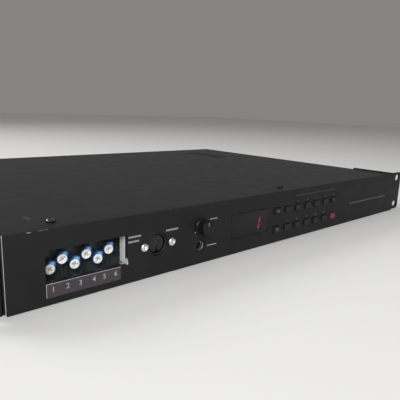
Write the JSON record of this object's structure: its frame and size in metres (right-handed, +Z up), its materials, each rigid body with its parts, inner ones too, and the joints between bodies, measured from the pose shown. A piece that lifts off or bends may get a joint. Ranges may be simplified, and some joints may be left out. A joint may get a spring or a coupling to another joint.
{
  "type": "rack audio module",
  "caption": "Black one-space rack audio module with trimmers behind a front window, a round multi-pin input, volume knob, phones jack, lit figure display and push buttons.",
  "frame": {"origin": "middle of the underside, halfway between the panel's face and the cover's rear edge", "axes": "+X to the right seen from the front, +Y to the rear, +Z up"},
  "size_m": [0.4826, 0.3396, 0.0446],
  "materials": {
    "black_paint": "satin black, fine grain",
    "black_cover": "satin black with a soft mirror at grazing angles",
    "black_plastic": "moulded, fine texture",
    "red_plastic": "moulded, dull red",
    "zinc": "zinc-plated sheet",
    "steel": "nickel-plated",
    "black_steel": "black oxide",
    "blue_plastic": "moulded, saturated blue",
    "white_plastic": "moulded white",
    "smoked_plastic": "smoked, polished",
    "grey_plastic": "plain",
    "green_board": "circuit board with lacquer",
    "core_iron": "varnished laminations",
    "print": "screen-printed marks",
    "label": "dark label strip",
    "lit_red": "lit display figure"
  },
  "bodies": {
    "case": {"front_panel": "black_paint", "chassis": "zinc", "side_rail_left": "black_paint", "side_rail_right": "black_paint", "rear_panel": "black_paint", "top_cover": "black_cover", "rack_ear_left": "black_paint", "rack_ear_right": "black_paint", "cover_screw_left": "black_steel", "cover_screw_middle": "black_steel", "ear_screw_left_front": "black_steel", "ear_screw_left_rear": "black_steel", "ear_screw_right_front": "black_steel", "ear_screw_right_rear": "black_steel", "trimmer_board": "green_board", "trimmer_body_1": "blue_plastic", "trimmer_body_2": "blue_plastic", "trimmer_body_3": "blue_plastic", "trimmer_body_4": "blue_plastic", "trimmer_body_5": "blue_plastic", "trimmer_body_6": "blue_plastic", "input_socket": "black_plastic", "input_screw_left": "steel", "input_screw_right": "steel", "volume_pot": "grey_plastic", "phones_jack": "black_plastic", "display_lens": "smoked_plastic", "display_module": "black_plastic", "control_board": "green_board", "main_board": "green_board", "ribbon_cable": "grey_plastic", "transformer": "core_iron", "mains_inlet": "black_plastic", "output_jack_1": "black_plastic", "output_jack_2": "black_plastic", "data_socket_1": "black_plastic", "data_socket_2": "black_plastic"},
    "volume": {"volume_knob": "black_plastic", "volume_shaft": "steel"},
    "trimmer_1": {"trimmer_rotor_1": "white_plastic"},
    "trimmer_2": {"trimmer_rotor_2": "white_plastic"},
    "trimmer_3": {"trimmer_rotor_3": "white_plastic"},
    "trimmer_4": {"trimmer_rotor_4": "white_plastic"},
    "trimmer_5": {"trimmer_rotor_5": "white_plastic"},
    "trimmer_6": {"trimmer_rotor_6": "white_plastic"},
    "up_key_cap": {"up_key": "black_plastic"},
    "down_key_cap": {"down_key": "black_plastic"},
    "upper_button_1_cap": {"upper_button_1": "black_plastic"},
    "upper_button_2_cap": {"upper_button_2": "black_plastic"},
    "upper_button_3_cap": {"upper_button_3": "black_plastic"},
    "upper_button_4_cap": {"upper_button_4": "black_plastic"},
    "upper_button_5_cap": {"upper_button_5": "black_plastic"},
    "upper_button_6_cap": {"upper_button_6": "black_plastic"},
    "lower_button_1_cap": {"lower_button_1": "black_plastic"},
    "lower_button_2_cap": {"lower_button_2": "black_plastic"},
    "lower_button_3_cap": {"lower_button_3": "black_plastic"},
    "lower_button_4_cap": {"lower_button_4": "black_plastic"},
    "lower_button_5_cap": {"lower_button_5": "black_plastic"},
    "red_button_cap": {"red_button": "red_plastic"},
    "rocker": {"power_rocker": "black_plastic"}
  },
  "joints": [
    {"name": "volume_turn", "type": "hinge", "parent": "case", "child": "volume", "pos_m": [-0.0862, -0.1639, 0.0285], "axis": [0, -1, 0], "range_deg": [-150, 150]},
    {"name": "trimmer_1_turn", "type": "hinge", "parent": "case", "child": "trimmer_1", "pos_m": [-0.19305, -0.1536, 0.0174], "axis": [0, -1, 0], "range_deg": [-130, 130]},
    {"name": "trimmer_2_turn", "type": "hinge", "parent": "case", "child": "trimmer_2", "pos_m": [-0.18543, -0.1536, 0.0221], "axis": [0, -1, 0], "range_deg": [-130, 130]},
    {"name": "trimmer_3_turn", "type": "hinge", "parent": "case", "child": "trimmer_3", "pos_m": [-0.17781, -0.1536, 0.0174], "axis": [0, -1, 0], "range_deg": [-130, 130]},
    {"name": "trimmer_4_turn", "type": "hinge", "parent": "case", "child": "trimmer_4", "pos_m": [-0.17019, -0.1536, 0.0221], "axis": [0, -1, 0], "range_deg": [-130, 130]},
    {"name": "trimmer_5_turn", "type": "hinge", "parent": "case", "child": "trimmer_5", "pos_m": [-0.16257, -0.1536, 0.0174], "axis": [0, -1, 0], "range_deg": [-130, 130]},
    {"name": "trimmer_6_turn", "type": "hinge", "parent": "case", "child": "trimmer_6", "pos_m": [-0.15495, -0.1536, 0.0221], "axis": [0, -1, 0], "range_deg": [-130, 130]},
    {"name": "up_key_press", "type": "slide", "parent": "case", "child": "up_key_cap", "axis": [0, 1, 0], "range_m": [0, 0.0005], "stiffness_N_per_m": 2000},
    {"name": "down_key_press", "type": "slide", "parent": "case", "child": "down_key_cap", "axis": [0, 1, 0], "range_m": [0, 0.0005], "stiffness_N_per_m": 2000},
    {"name": "upper_button_1_press", "type": "slide", "parent": "case", "child": "upper_button_1_cap", "axis": [0, 1, 0], "range_m": [0, 0.0005], "stiffness_N_per_m": 2000},
    {"name": "upper_button_2_press", "type": "slide", "parent": "case", "child": "upper_button_2_cap", "axis": [0, 1, 0], "range_m": [0, 0.0005], "stiffness_N_per_m": 2000},
    {"name": "upper_button_3_press", "type": "slide", "parent": "case", "child": "upper_button_3_cap", "axis": [0, 1, 0], "range_m": [0, 0.0005], "stiffness_N_per_m": 2000},
    {"name": "upper_button_4_press", "type": "slide", "parent": "case", "child": "upper_button_4_cap", "axis": [0, 1, 0], "range_m": [0, 0.0005], "stiffness_N_per_m": 2000},
    {"name": "upper_button_5_press", "type": "slide", "parent": "case", "child": "upper_button_5_cap", "axis": [0, 1, 0], "range_m": [0, 0.0005], "stiffness_N_per_m": 2000},
    {"name": "upper_button_6_press", "type": "slide", "parent": "case", "child": "upper_button_6_cap", "axis": [0, 1, 0], "range_m": [0, 0.0005], "stiffness_N_per_m": 2000},
    {"name": "lower_button_1_press", "type": "slide", "parent": "case", "child": "lower_button_1_cap", "axis": [0, 1, 0], "range_m": [0, 0.0005], "stiffness_N_per_m": 2000},
    {"name": "lower_button_2_press", "type": "slide", "parent": "case", "child": "lower_button_2_cap", "axis": [0, 1, 0], "range_m": [0, 0.0005], "stiffness_N_per_m": 2000},
    {"name": "lower_button_3_press", "type": "slide", "parent": "case", "child": "lower_button_3_cap", "axis": [0, 1, 0], "range_m": [0, 0.0005], "stiffness_N_per_m": 2000},
    {"name": "lower_button_4_press", "type": "slide", "parent": "case", "child": "lower_button_4_cap", "axis": [0, 1, 0], "range_m": [0, 0.0005], "stiffness_N_per_m": 2000},
    {"name": "lower_button_5_press", "type": "slide", "parent": "case", "child": "lower_button_5_cap", "axis": [0, 1, 0], "range_m": [0, 0.0005], "stiffness_N_per_m": 2000},
    {"name": "red_button_press", "type": "slide", "parent": "case", "child": "red_button_cap", "axis": [0, 1, 0], "range_m": [0, 0.0005], "stiffness_N_per_m": 2000},
    {"name": "power_rocker_tilt", "type": "hinge", "parent": "case", "child": "rocker", "pos_m": [0.1725, 0.162, 0.022], "axis": [1, 0, 0], "range_deg": [-18, 0]}
  ]
}
